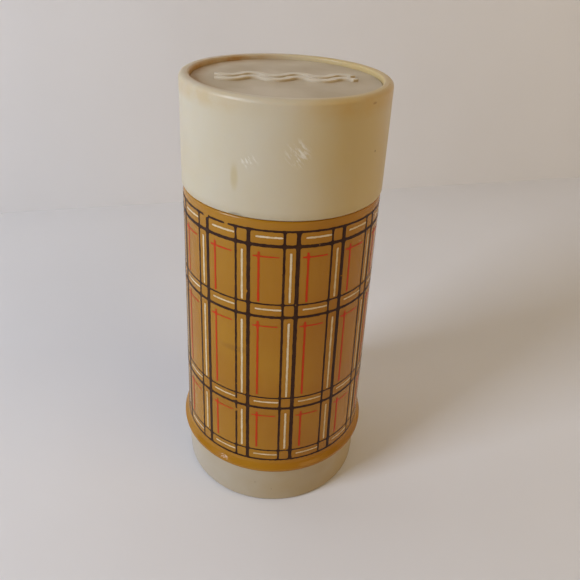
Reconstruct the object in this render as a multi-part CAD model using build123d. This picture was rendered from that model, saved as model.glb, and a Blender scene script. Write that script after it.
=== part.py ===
"""Wide-mouth vacuum flask: a glass filler in a screw-together plastic jacket, a stopper and a drinking cup.

Millimetres. The origin is the centre of the foot on the floor, +Z runs up the flask's axis.
Every screw thread is right-handed: a piece that is unscrewed turns anticlockwise as seen from its own end.
"""
from build123d import *

import os

# Driving dimensions.
HEIGHT = 178.0  # floor to the crest of the cup's rim
BASE_HEIGHT = 21.6  # floor to the joint between base and jacket
SHOULDER_Z = 139.0  # the jacket's shoulder, which the cup's lip closes on
JACKET_FOOT_R = 40.6  # outside of the jacket just above its bead
JACKET_TOP_R = 37.7  # outside of the jacket at its shoulder
WALL = 2.3  # moulded plastic shells
GLASS = 1.5  # blown glass
FIT = 0.1  # radial gap between pieces that are pushed together
RUN = 0.3  # gap between pieces that move past each other

# The base and the jacket's lower end.
BEAD_R = 42.6
BEAD_UNDERSIDE_Z = BASE_HEIGHT + 0.1
BEAD_TOP_Z = 23.2
COVE_TOP_Z = 25.9
BASE_TOP_R = 40.9
BASE_FOOT_R = 40.5
BASE_NECK_R = 36.9
BASE_NECK_TOP_Z = 33.2
BASE_BORE_R = BASE_NECK_R - 2.1
BASE_FLOOR_Z = 3.0
BASE_FLOOR_TOP_Z = 5.4
BASE_RIBS = 12
BASE_THREAD_Z = 24.6  # where the base's thread starts
BASE_THREAD_TURNS = 1.5
SEAL_BORE_R = BASE_BORE_R + 0.3
CUSHION_TOP_Z = 14.0  # where the filler's seat lies on its foam cushion
JACKET_BORE_R = 38.2
JACKET_STOP_Z = 34.6  # underside of the rib that the base's seal closes on
JACKET_STOP_R = 36.2

# The neck, its collar and the stopper.
NECK_R = 34.4
NECK_TOP_Z = 147.5
NECK_BORE_R = 31.9
COLLAR_TOP_Z = 149.4
COLLAR_BORE_R = 27.6
LIP_Z = 138.4  # top of the glass lip
NECK_GASKET_TOP_Z = LIP_Z + 1.2
STOPPER_CORE_R = 26.2
PLUG_R = 24.2
PLUG_BOTTOM_Z = 124.0
STOPPER_STEP_Z = 141.4
STOPPER_CAP_Z = COLLAR_TOP_Z + 0.3
STOPPER_TOP_Z = 157.0
GRIP_R = 25.0
GRIP_FLUTES = 16
STOPPER_THREAD_Z = 143.0
STOPPER_THREAD_TURNS = 0.9
STOPPER_WALL = 1.7

# The glass filler: two bottles fused at the lip, with a vacuum between them.
OUTER_BOTTLE_R = 33.6
OUTER_NECK_R = 29.6
OUTER_BOTTOM_Z = 26.0
OUTER_CORNER_R = 22.0
INNER_BOTTLE_R = 28.9
INNER_NECK_R = 26.7
INNER_BOTTOM_Z = 30.5
INNER_CORNER_R = 18.0
GLASS_SHOULDER_Z = 118.0
GLASS_NECK_Z = 126.0
FUSE_Z = 135.9  # where the inner bottle's lip sits on the outer bottle's neck
TIP_Z = 17.0  # end of the tube that the filler was evacuated through

# The drinking cup.
CUP_LIP_Z = SHOULDER_Z + 0.2
CUP_LIP_R = 38.1
CUP_TOP_R = 37.2
CUP_BORE_R = 35.8
LINER_LEDGE_Z = 152.2
DISC_TOP_Z = HEIGHT - 1.8
DISC_LEDGE_Z = DISC_TOP_Z - 2.2
DISC_R = 33.5
LINER_FLOOR_Z = 170.4
RELIEF = 0.8  # how far the ornament stands proud of the disc
RELIEF_TURN = 8  # degrees round from +X
CUP_THREAD_Z = 141.2
CUP_THREAD_TURNS = 1.2

# Threads: pitch, and the height of the ridge above its wall.
CUP_PITCH = 4.0
STOPPER_PITCH = 5.0
BASE_PITCH = 4.0
RIDGE = 1.0
BASE_RIDGE = 0.9
COLLAR_RIDGE = 0.85
RIDGE_ROOT = 2.0
RIDGE_CREST = 1.0


def jacket_radius(z):
    """Outside radius of the jacket's tapered wall at height z."""
    share = (z - COVE_TOP_Z) / (SHOULDER_Z - COVE_TOP_Z)
    return JACKET_FOOT_R + (JACKET_TOP_R - JACKET_FOOT_R) * share


def turned(points, rounds=None):
    """A solid of revolution about Z from a closed outline of (radius, height) points.

    rounds maps a point's number to the radius that its corner is rounded to.
    """
    outline = make_face(Polyline(*points, close=True))
    for number, radius in (rounds or {}).items():
        corner = outline.vertices().sort_by_distance((*points[number], 0))[0]
        outline = fillet(corner, radius)
    return revolve(Plane.XZ * outline, Axis.Z)


def thread_ridge(wall_radius, height, pitch, start_z, turns, embed=0.4):
    """A helical ridge on a round wall. height is negative for a ridge on the inside of a bore."""
    side = 1 if height > 0 else -1
    flank = (RIDGE_ROOT - RIDGE_CREST) / 2 / abs(height)
    root_half = RIDGE_ROOT / 2 + embed * flank
    path = Helix(pitch=pitch, height=pitch * turns, radius=wall_radius, center=(0, 0, start_z))
    section = make_face(
        Polyline(
            (wall_radius - side * embed, start_z - root_half),
            (wall_radius + height, start_z - RIDGE_CREST / 2),
            (wall_radius + height, start_z + RIDGE_CREST / 2),
            (wall_radius - side * embed, start_z + root_half),
            close=True,
        )
    )
    return sweep(Plane.XZ * section, path=path, is_frenet=True)


def radial_copies(shape, count):
    """The shape repeated about Z."""
    return [Rot(0, 0, 360 / count * n) * shape for n in range(count)]


def make_base_cup():
    """The screw-on base: an outer skirt to stand on, and an inner threaded cup that holds the cushions."""
    shoulder_thickness = 2.2
    body = turned(
        [
            (0, BASE_FLOOR_Z),
            (BASE_NECK_R, BASE_FLOOR_Z),
            (BASE_NECK_R, BASE_HEIGHT - shoulder_thickness),
            (BASE_TOP_R - WALL, BASE_HEIGHT - shoulder_thickness),
            (BASE_FOOT_R - WALL, 0),
            (BASE_FOOT_R, 0),
            (BASE_TOP_R, BASE_HEIGHT),
            (BASE_NECK_R, BASE_HEIGHT),
            (BASE_NECK_R, BASE_NECK_TOP_Z),
            (BASE_BORE_R, BASE_NECK_TOP_Z),
            (BASE_BORE_R, BASE_FLOOR_TOP_Z),
            (0, BASE_FLOOR_TOP_Z),
        ],
        {5: 1.4, 6: 0.3, 8: 0.5, 9: 0.5, 10: 2.0, 1: 1.2},
    )
    rib_width, rib_foot_z, rib_sink = 1.4, 2.0, 0.8
    rib_length = BASE_FOOT_R - WALL - BASE_NECK_R + 2 * rib_sink
    rib_height = BASE_HEIGHT - rib_foot_z - 1.0
    rib_middle = Pos(BASE_NECK_R - rib_sink + rib_length / 2, 0, rib_foot_z + rib_height / 2)
    body += radial_copies(rib_middle * Box(rib_length, rib_width, rib_height), BASE_RIBS)
    boss_r, boss_bore_r, boss_height = 9.0, 7.6, 0.8
    boss = Cylinder(boss_r, boss_height) - Cylinder(boss_bore_r, boss_height)
    body += Pos(0, 0, BASE_FLOOR_Z - boss_height / 2) * boss
    return body + thread_ridge(BASE_NECK_R, BASE_RIDGE, BASE_PITCH, BASE_THREAD_Z, BASE_THREAD_TURNS)


def make_base_seal():
    """Rubber washer between the base's neck and the jacket's stop rib."""
    top_z = JACKET_STOP_Z - 0.1
    foot_z = BASE_NECK_TOP_Z
    return turned(
        [(SEAL_BORE_R, foot_z), (BASE_NECK_R, foot_z), (BASE_NECK_R, top_z), (SEAL_BORE_R, top_z)],
        {1: 0.4, 2: 0.4},
    )


def make_base_cushion():
    """Foam ring under the filler's seat."""
    bore_r, outer_r = 13, 31
    foot_z, top_z = BASE_FLOOR_TOP_Z, CUSHION_TOP_Z
    return turned([(bore_r, foot_z), (outer_r, foot_z), (outer_r, top_z), (bore_r, top_z)], {1: 1.2, 2: 1.2})


def make_filler_seat():
    """Soft plastic cradle with a dished top that carries the filler's rounded bottom."""
    bore_r, foot_r, wall_r, rim_bore_r, dish_r = 11, 33, 34, 31.5, 20
    wall_foot_z, dish_z, rim_z = 17, 24, 38
    block = turned(
        [
            (bore_r, CUSHION_TOP_Z),
            (foot_r, CUSHION_TOP_Z),
            (wall_r, wall_foot_z),
            (wall_r, rim_z),
            (rim_bore_r, rim_z),
            (dish_r, dish_z),
            (bore_r, dish_z),
        ],
        {1: 1.0, 3: 0.6},
    )
    glass_r, glass_z = OUTER_BOTTLE_R + RUN, OUTER_BOTTOM_Z - RUN
    above = rim_z + 22
    dish = turned(
        [(0, glass_z), (glass_r, glass_z), (glass_r, above), (0, above)],
        {1: OUTER_CORNER_R + RUN},
    )
    slots, slot_r = 6, 28
    slot = Pos(slot_r, 0, wall_foot_z) * Box(8, 5, 6.4)
    return block - dish - radial_copies(slot, slots)


def make_tip_guard():
    """Small rubber cup round the filler's sealed glass tip."""
    foot_r, rim_r, bore_r = 9.5, 8.6, 6.6
    rim_z, bore_floor_z = 23.6, 12.4
    return turned(
        [
            (0, BASE_FLOOR_TOP_Z),
            (foot_r, BASE_FLOOR_TOP_Z),
            (rim_r, rim_z),
            (bore_r, rim_z),
            (bore_r, bore_floor_z),
            (0, bore_floor_z),
        ],
        {1: 0.8, 2: 0.6, 3: 0.6, 4: 2.0},
    )


def make_jacket():
    """The outer casing: a tapered wall from a bead at the foot to a shoulder and a threaded neck."""
    wall_r = jacket_radius(COVE_TOP_Z)
    roof_z = SHOULDER_Z - WALL
    stop_slope_z, bore_foot_z = 37.4, 39
    body = turned(
        [
            (JACKET_BORE_R, BEAD_UNDERSIDE_Z),
            (BEAD_R, BEAD_UNDERSIDE_Z),
            (BEAD_R, BEAD_TOP_Z),
            (wall_r, COVE_TOP_Z),
            (JACKET_TOP_R, SHOULDER_Z),
            (NECK_R, SHOULDER_Z),
            (NECK_R, NECK_TOP_Z),
            (NECK_BORE_R, NECK_TOP_Z),
            (NECK_BORE_R, roof_z),
            (jacket_radius(roof_z) - WALL, roof_z),
            (jacket_radius(bore_foot_z) - WALL, bore_foot_z),
            (JACKET_STOP_R, stop_slope_z),
            (JACKET_STOP_R, JACKET_STOP_Z),
            (JACKET_BORE_R, JACKET_STOP_Z),
        ],
        {1: 0.5, 2: 0.9, 3: 5.0, 4: 0.8, 5: 0.5, 6: 0.5, 9: 1.6},
    )
    body += thread_ridge(NECK_R, RIDGE, CUP_PITCH, CUP_THREAD_Z, CUP_THREAD_TURNS)
    half_pitch_up = BASE_THREAD_Z + BASE_PITCH / 2
    return body + thread_ridge(JACKET_BORE_R, -BASE_RIDGE, BASE_PITCH, half_pitch_up, BASE_THREAD_TURNS)


def make_neck_collar():
    """Pouring ring in the jacket's neck, threaded inside for the stopper."""
    flange_r = NECK_R - 0.3
    body = turned(
        [
            (COLLAR_BORE_R, NECK_GASKET_TOP_Z),
            (NECK_BORE_R - FIT, NECK_GASKET_TOP_Z),
            (NECK_BORE_R - FIT, NECK_TOP_Z),
            (flange_r, NECK_TOP_Z),
            (flange_r, COLLAR_TOP_Z),
            (COLLAR_BORE_R, COLLAR_TOP_Z),
        ],
        {0: 0.4, 4: 0.9, 5: 0.6},
    )
    thread = thread_ridge(COLLAR_BORE_R, -COLLAR_RIDGE, STOPPER_PITCH, STOPPER_THREAD_Z, STOPPER_THREAD_TURNS)
    return body + thread


def make_neck_gasket():
    """Flat rubber ring between the glass lip and the collar."""
    bore_r, outer_r = 25.6, 31.6
    return turned(
        [(bore_r, LIP_Z), (outer_r, LIP_Z), (outer_r, NECK_GASKET_TOP_Z), (bore_r, NECK_GASKET_TOP_Z)],
        {0: 0.4, 3: 0.4},
    )


def make_shoulder_ring():
    """Foam ring that centres the filler in the jacket."""
    bottom_z, top_z = 104, 116
    return turned(
        [
            (OUTER_BOTTLE_R + FIT, bottom_z),
            (jacket_radius(bottom_z) - WALL - RUN, bottom_z),
            (jacket_radius(top_z) - WALL - RUN, top_z),
            (OUTER_BOTTLE_R + FIT, top_z),
        ],
        {1: 0.6, 2: 0.6},
    )


def make_outer_glass_bottle():
    """The filler's outer bottle, with the sealed tip of its evacuation tube under its rounded bottom."""
    bore_r = OUTER_BOTTLE_R - GLASS
    neck_bore_r = OUTER_NECK_R - GLASS
    slope_drop = GLASS * 0.6
    tip_r, tube_r = 1.5, 3.4
    return turned(
        [
            (0, TIP_Z),
            (tip_r, TIP_Z),
            (tube_r, OUTER_BOTTOM_Z),
            (OUTER_BOTTLE_R, OUTER_BOTTOM_Z),
            (OUTER_BOTTLE_R, GLASS_SHOULDER_Z),
            (OUTER_NECK_R, GLASS_NECK_Z),
            (OUTER_NECK_R, FUSE_Z),
            (neck_bore_r, FUSE_Z),
            (neck_bore_r, GLASS_NECK_Z - slope_drop),
            (bore_r, GLASS_SHOULDER_Z - slope_drop),
            (bore_r, OUTER_BOTTOM_Z + GLASS),
            (0, OUTER_BOTTOM_Z + GLASS),
        ],
        {1: 1.2, 2: 2.0, 3: OUTER_CORNER_R, 4: 6.0, 5: 4.0, 8: 5.0, 9: 5.0, 10: OUTER_CORNER_R - GLASS},
    )


def make_inner_glass_bottle():
    """The filler's inner bottle, which holds the drink; its rolled lip is fused to the outer bottle."""
    bore_r = INNER_BOTTLE_R - GLASS
    neck_bore_r = INNER_NECK_R - GLASS
    shoulder_z, neck_z = GLASS_SHOULDER_Z - 3, GLASS_NECK_Z - 3
    slope_drop = GLASS * 0.4
    return turned(
        [
            (0, INNER_BOTTOM_Z),
            (INNER_BOTTLE_R, INNER_BOTTOM_Z),
            (INNER_BOTTLE_R, shoulder_z),
            (INNER_NECK_R, neck_z),
            (INNER_NECK_R, FUSE_Z),
            (OUTER_NECK_R, FUSE_Z),
            (OUTER_NECK_R, LIP_Z),
            (neck_bore_r, LIP_Z),
            (neck_bore_r, neck_z - slope_drop),
            (bore_r, shoulder_z - slope_drop),
            (bore_r, INNER_BOTTOM_Z + GLASS),
            (0, INNER_BOTTOM_Z + GLASS),
        ],
        {1: INNER_CORNER_R, 2: 5.0, 3: 4.0, 6: 0.9, 7: 1.1, 8: 5.0, 9: 5.0, 10: INNER_CORNER_R - GLASS},
    )


def make_spacer_pads():
    """Three pads in the vacuum that keep the two bottles apart."""
    squeeze = 0.05
    gap_in, gap_out = INNER_BOTTLE_R + squeeze, OUTER_BOTTLE_R - GLASS - squeeze
    pads, first_angle, pad_r, middle_z, depth = 3, 30, 4.0, 56, 12
    ring = Pos(0, 0, middle_z) * (Cylinder(gap_out, depth) - Cylinder(gap_in, depth))
    pad = ring & (Pos((gap_in + gap_out) / 2, 0, middle_z) * Rot(0, 90, 0) * Cylinder(pad_r, depth))
    return Compound(children=[Rot(0, 0, 360 / pads * n + first_angle) * pad.solid() for n in range(pads)])


def make_stopper_gasket():
    """Rubber ring that seals the stopper on the neck gasket."""
    bore_r, outer_r = PLUG_R + 0.2, STOPPER_CORE_R + 0.2
    bottom_z, top_z = NECK_GASKET_TOP_Z + 0.05, STOPPER_STEP_Z - 0.05
    return turned(
        [(bore_r, bottom_z), (outer_r, bottom_z), (outer_r, top_z), (bore_r, top_z)],
        {1: 0.5, 2: 0.5},
    )


def make_stopper_body():
    """Hollow screw plug that closes the mouth of the filler."""
    foot_r, foot_bore_r = PLUG_R - 0.6, PLUG_R - 2.2
    bore_r = STOPPER_CORE_R - STOPPER_WALL
    floor_top_z = PLUG_BOTTOM_Z + 1.8
    body = turned(
        [
            (0, PLUG_BOTTOM_Z),
            (foot_r, PLUG_BOTTOM_Z),
            (PLUG_R, STOPPER_STEP_Z),
            (STOPPER_CORE_R, STOPPER_STEP_Z),
            (STOPPER_CORE_R, STOPPER_CAP_Z),
            (bore_r, STOPPER_CAP_Z),
            (bore_r, STOPPER_STEP_Z + 2),
            (PLUG_R - STOPPER_WALL, STOPPER_STEP_Z + 1),
            (foot_bore_r, floor_top_z),
            (0, floor_top_z),
        ],
        {1: 2.5, 3: 0.3, 8: 1.0},
    )
    early = 0.4  # of a turn: where this ridge starts, ahead of the collar's
    start_z = STOPPER_THREAD_Z + STOPPER_PITCH * (0.5 - early)
    ridge = thread_ridge(STOPPER_CORE_R, RIDGE, STOPPER_PITCH, start_z, STOPPER_THREAD_TURNS)
    return body + Rot(0, 0, -360 * early) * ridge


def make_stopper_foam():
    """Insulating foam core of the stopper."""
    foot_r, core_r = PLUG_R - 3.4, PLUG_R - 2.0
    bottom_z, top_z = PLUG_BOTTOM_Z + 1.9, STOPPER_CAP_Z - 3.2
    return turned(
        [(0, bottom_z), (foot_r, bottom_z), (core_r, STOPPER_STEP_Z + 1), (core_r, top_z), (0, top_z)],
        {1: 1.2},
    )


def make_stopper_cap():
    """Lid of the stopper: a plug-in disc with a fluted grip on top."""
    plug_r = STOPPER_CORE_R - STOPPER_WALL - FIT
    plug_bore_r = plug_r - 1.8
    plug_foot_z, plug_roof_z = STOPPER_CAP_Z - 3.0, STOPPER_CAP_Z - 1.0
    brim_r, brim_top_z, grip_foot_z = 28.2, STOPPER_CAP_Z + 1.6, STOPPER_CAP_Z + 1.9
    well_z = STOPPER_TOP_Z - 2.4
    body = turned(
        [
            (0, plug_roof_z),
            (plug_bore_r, plug_roof_z),
            (plug_bore_r, plug_foot_z),
            (plug_r, plug_foot_z),
            (plug_r, STOPPER_CAP_Z),
            (brim_r, STOPPER_CAP_Z),
            (brim_r, brim_top_z),
            (GRIP_R, grip_foot_z),
            (GRIP_R - 0.5, STOPPER_TOP_Z),
            (GRIP_R - 4.5, STOPPER_TOP_Z),
            (GRIP_R - 5.0, well_z),
            (0, well_z),
        ],
        {5: 0.4, 6: 0.6, 7: 0.5, 8: 1.0, 9: 0.8, 10: 1.0},
    )
    flute_r, flute_out, flute_foot_z = 2.0, 1.0, grip_foot_z + 0.3
    flute_height = STOPPER_TOP_Z - STOPPER_CAP_Z - 1.7
    flute = Pos(GRIP_R + flute_out, 0, flute_foot_z + flute_height / 2) * Cylinder(flute_r, flute_height)
    return body - radial_copies(flute, GRIP_FLUTES)


def make_cup_shell():
    """Outer shell of the drinking cup, threaded inside its lip, with the cup's foot at its far end."""
    recess_r, seat_r = DISC_R + FIT, DISC_R - 2.0
    seat_z = DISC_LEDGE_Z - 1.4
    ledge_r, wall_r = CUP_BORE_R - 1.8, CUP_BORE_R - 0.8
    ledge_top_z, wall_foot_z = LINER_LEDGE_Z + 2.4, LINER_LEDGE_Z + 4
    body = turned(
        [
            (CUP_BORE_R, CUP_LIP_Z),
            (CUP_LIP_R, CUP_LIP_Z),
            (CUP_TOP_R, HEIGHT),
            (recess_r, HEIGHT),
            (recess_r, DISC_LEDGE_Z),
            (seat_r, DISC_LEDGE_Z),
            (seat_r, seat_z),
            (CUP_TOP_R - WALL, seat_z),
            (wall_r, wall_foot_z),
            (ledge_r, ledge_top_z),
            (ledge_r, LINER_LEDGE_Z),
            (CUP_BORE_R, LINER_LEDGE_Z),
        ],
        {0: 0.6, 1: 0.8, 2: 1.7, 3: 0.8},
    )
    return body + thread_ridge(CUP_BORE_R, -RIDGE, CUP_PITCH, CUP_THREAD_Z + CUP_PITCH / 2, CUP_THREAD_TURNS)


def make_cup_liner():
    """Inner wall of the drinking cup, held by its flange under the shell's ledge."""
    thickness = 1.6
    mouth_r, flange_r, wall_r, floor_r = 32.0, 34.6, 33.5, 31.0
    flange_z = LINER_LEDGE_Z - 0.1
    return turned(
        [
            (mouth_r, flange_z - thickness),
            (flange_r, flange_z - thickness),
            (flange_r, flange_z),
            (wall_r, flange_z),
            (floor_r + 1.5, LINER_FLOOR_Z + thickness),
            (0, LINER_FLOOR_Z + thickness),
            (0, LINER_FLOOR_Z),
            (floor_r, LINER_FLOOR_Z),
        ],
        {0: 0.6, 1: 0.5, 4: 5.0, 7: 4.0},
    )


def wave_relief():
    """Plain moulded ornament: two raised wavy lines, one above the other."""
    crest_gap, swing_radius, crests = 8.0, 5.0, 6
    line_width, row_gap = 2.6, 5.6
    sink = 0.3
    start = -crest_gap * crests / 2
    lines = []
    for row_y in (-row_gap / 2, row_gap / 2):
        bends = [
            RadiusArc(
                (start + crest_gap * n, row_y),
                (start + crest_gap * (n + 1), row_y),
                swing_radius if n % 2 else -swing_radius,
            )
            for n in range(crests)
        ]
        lines.append(Wire(bends))
    stroke = Sketch() + [trace(line, line_width) for line in lines]
    return extrude(Pos(0, 0, DISC_TOP_Z - sink) * stroke, RELIEF + sink)


def make_cup_end_disc():
    """Disc let into the foot of the cup, with a raised ornament."""
    disc = turned(
        [(0, DISC_LEDGE_Z), (DISC_R, DISC_LEDGE_Z), (DISC_R, DISC_TOP_Z), (0, DISC_TOP_Z)],
        {2: 0.3},
    )
    return disc + Rot(0, 0, RELIEF_TURN) * wave_relief()


NODES = {
    "base_cup": make_base_cup,
    "base_seal": make_base_seal,
    "base_cushion": make_base_cushion,
    "filler_seat": make_filler_seat,
    "tip_guard": make_tip_guard,
    "jacket": make_jacket,
    "neck_collar": make_neck_collar,
    "neck_gasket": make_neck_gasket,
    "shoulder_ring": make_shoulder_ring,
    "outer_glass_bottle": make_outer_glass_bottle,
    "inner_glass_bottle": make_inner_glass_bottle,
    "spacer_pads": make_spacer_pads,
    "stopper_gasket": make_stopper_gasket,
    "stopper_body": make_stopper_body,
    "stopper_foam": make_stopper_foam,
    "stopper_cap": make_stopper_cap,
    "cup_shell": make_cup_shell,
    "cup_liner": make_cup_liner,
    "cup_end_disc": make_cup_end_disc,
}

os.makedirs("parts", exist_ok=True)
for name, make in NODES.items():
    shape = make()
    export_step(shape, f"parts/{name}.step")
    print(name, len(shape.solids()), "solids,", round(shape.volume), "mm3")
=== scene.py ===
"""Looks for a wide-mouth vacuum flask: printed jacket, cream cup and base, stopper and glass filler.

Lengths are in metres, or in millimetres where a name ends in _mm. The origin is the centre of the flask's
foot, +Z runs up its axis, and angles round the axis are in degrees, anticlockwise from +X as seen from above.
"""

import logging
import math
from dataclasses import dataclass, field
from enum import Enum

import bpy
import numpy as np
from mathutils import Matrix, Vector


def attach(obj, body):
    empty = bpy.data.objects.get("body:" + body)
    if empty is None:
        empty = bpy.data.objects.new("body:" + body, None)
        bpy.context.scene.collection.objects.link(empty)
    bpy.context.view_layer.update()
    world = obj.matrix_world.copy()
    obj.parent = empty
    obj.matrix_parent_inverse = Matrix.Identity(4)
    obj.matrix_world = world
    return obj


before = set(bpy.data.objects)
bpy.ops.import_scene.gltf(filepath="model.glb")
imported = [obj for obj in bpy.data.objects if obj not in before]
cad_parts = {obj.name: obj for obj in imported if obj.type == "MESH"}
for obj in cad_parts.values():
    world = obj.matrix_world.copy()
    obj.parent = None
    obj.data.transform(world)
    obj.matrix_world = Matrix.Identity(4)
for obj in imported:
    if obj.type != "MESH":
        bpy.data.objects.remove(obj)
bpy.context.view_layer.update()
log = logging.getLogger("flask")

Tree = bpy.types.NodeTree
Socket = bpy.types.NodeSocket
Settings = dict[str | int, object]
Links = dict[str | int, Socket]
Faces = list[tuple[int, ...]]
MILLIMETRE = 0.001


def srgb(code: str) -> tuple[float, float, float, float]:
    """Turn a colour as it is seen into the linear colour that a shader works in.

    Args:
        code: An sRGB colour, such as "#C8BFAA".

    Returns:
        Red, green, blue and an alpha of 1.
    """
    seen = [int(code[place : place + 2], 16) / 255 for place in (1, 3, 5)]
    red, green, blue = (c / 12.92 if c <= 0.04045 else ((c + 0.055) / 1.055) ** 2.4 for c in seen)
    return red, green, blue, 1.0


def per_metre(size_mm: float) -> float:
    """Give the texture scale at which a pattern's features are size_mm apart."""
    return 1 / (size_mm * MILLIMETRE)


def add_node(tree: Tree, kind: str, settings: Settings, links: Links, output: str | int = 0) -> Socket:
    """Add a shader node with its settings and the links that feed it.

    Args:
        tree: The node tree of a material or world.
        kind: The node's type, without its "ShaderNode".
        settings: Values by name or number. A name is a property of the node or one of its inputs.
        links: The output socket that feeds each input, by the input's name or number.
        output: The output that is wanted, by name or number.

    Returns:
        That output of the new node.
    """
    node = tree.nodes.new("ShaderNode" + kind)
    for name, value in settings.items():
        if isinstance(name, str) and hasattr(node, name):
            setattr(node, name, value)
        else:
            node.inputs[name].default_value = value
    for name, source in links.items():
        tree.links.new(source, node.inputs[name])
    return node.outputs[output]


class Mark(Enum):
    """What has happened to a worn surface at one place."""

    SCUFF = "scuff"
    STAIN = "stain"


@dataclass(frozen=True)
class Blemish:
    """One mark of use, at its place on the flask.

    Attributes:
        kind: A scuff is scratched paler and rough, a stain is only discoloured.
        place_mm: The mark's middle.
        reach_mm: How far it reaches along X, Y and Z.
        colour: What it turns the surface towards.
        strength: How far it does so, from 0 to 1.
    """

    kind: Mark
    place_mm: tuple[float, float, float]
    reach_mm: tuple[float, float, float]
    colour: str
    strength: float


@dataclass(frozen=True)
class DirtAndPaintedLightRing:
    """A tinted ring round the axis, for settled dirt, painted shade in a recess, painted light through a rim.

    Attributes:
        radius_mm: The ring's distance from the axis.
        height_mm: Its height above the floor.
        width_mm: How far from it the tint reaches.
        colour: The tint's colour.
        strength: How dense it is, from 0 to 1.
        side: The direction, from the axis, in which it is densest. No length means all round.
    """

    radius_mm: float
    height_mm: float
    width_mm: float
    colour: str
    strength: float
    side: tuple[float, float] = (0.0, 0.0)


@dataclass
class Coat:
    """The nodes of one material while its layers are laid on.

    Attributes:
        tree: The material's node tree.
        place: The position on the flask.
        values: The shader's values that are the same all over the surface.
        colour: What feeds its colour so far.
        rough: What feeds its roughness so far. None leaves it to the values.
        normal: What feeds its normal.
    """

    tree: Tree
    place: Socket
    values: Settings = field(default_factory=dict)
    colour: Socket | None = None
    rough: Socket | None = None
    normal: Socket | None = None

    def add(self, kind: str, settings: Settings, links: Links | None = None, output: str | int = 0) -> Socket:
        """Add a node to this material as add_node() does. One given no links reads the position."""
        return add_node(self.tree, kind, settings, {0: self.place} if links is None else links, output)

    def finish(self) -> None:
        """Lay the Principled shader over everything."""
        fed = {"Base Color": self.colour, "Roughness": self.rough, "Normal": self.normal}
        links = {name: source for name, source in fed.items() if source}
        shader = self.add("BsdfPrincipled", self.values, links)
        self.tree.links.new(shader, self.tree.nodes.new("ShaderNodeOutputMaterial").inputs["Surface"])


@dataclass(frozen=True)
class Finish:
    """One material. Each kind of finish says in lay() how its surface was made.

    Attributes:
        name: The material's name.
    """

    name: str

    def material(self) -> bpy.types.Material:
        """Build the material from its layers.

        Returns:
            The new material.
        """
        material = bpy.data.materials.new(self.name)
        material.use_nodes = True
        material.node_tree.nodes.clear()
        coat = Coat(material.node_tree, add_node(material.node_tree, "TexCoord", {}, {}, "Object"))
        self.lay(coat)
        coat.finish()
        return material

    def lay(self, coat: Coat) -> None:
        """Lay the finish's own layers on coat."""
        raise NotImplementedError


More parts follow.
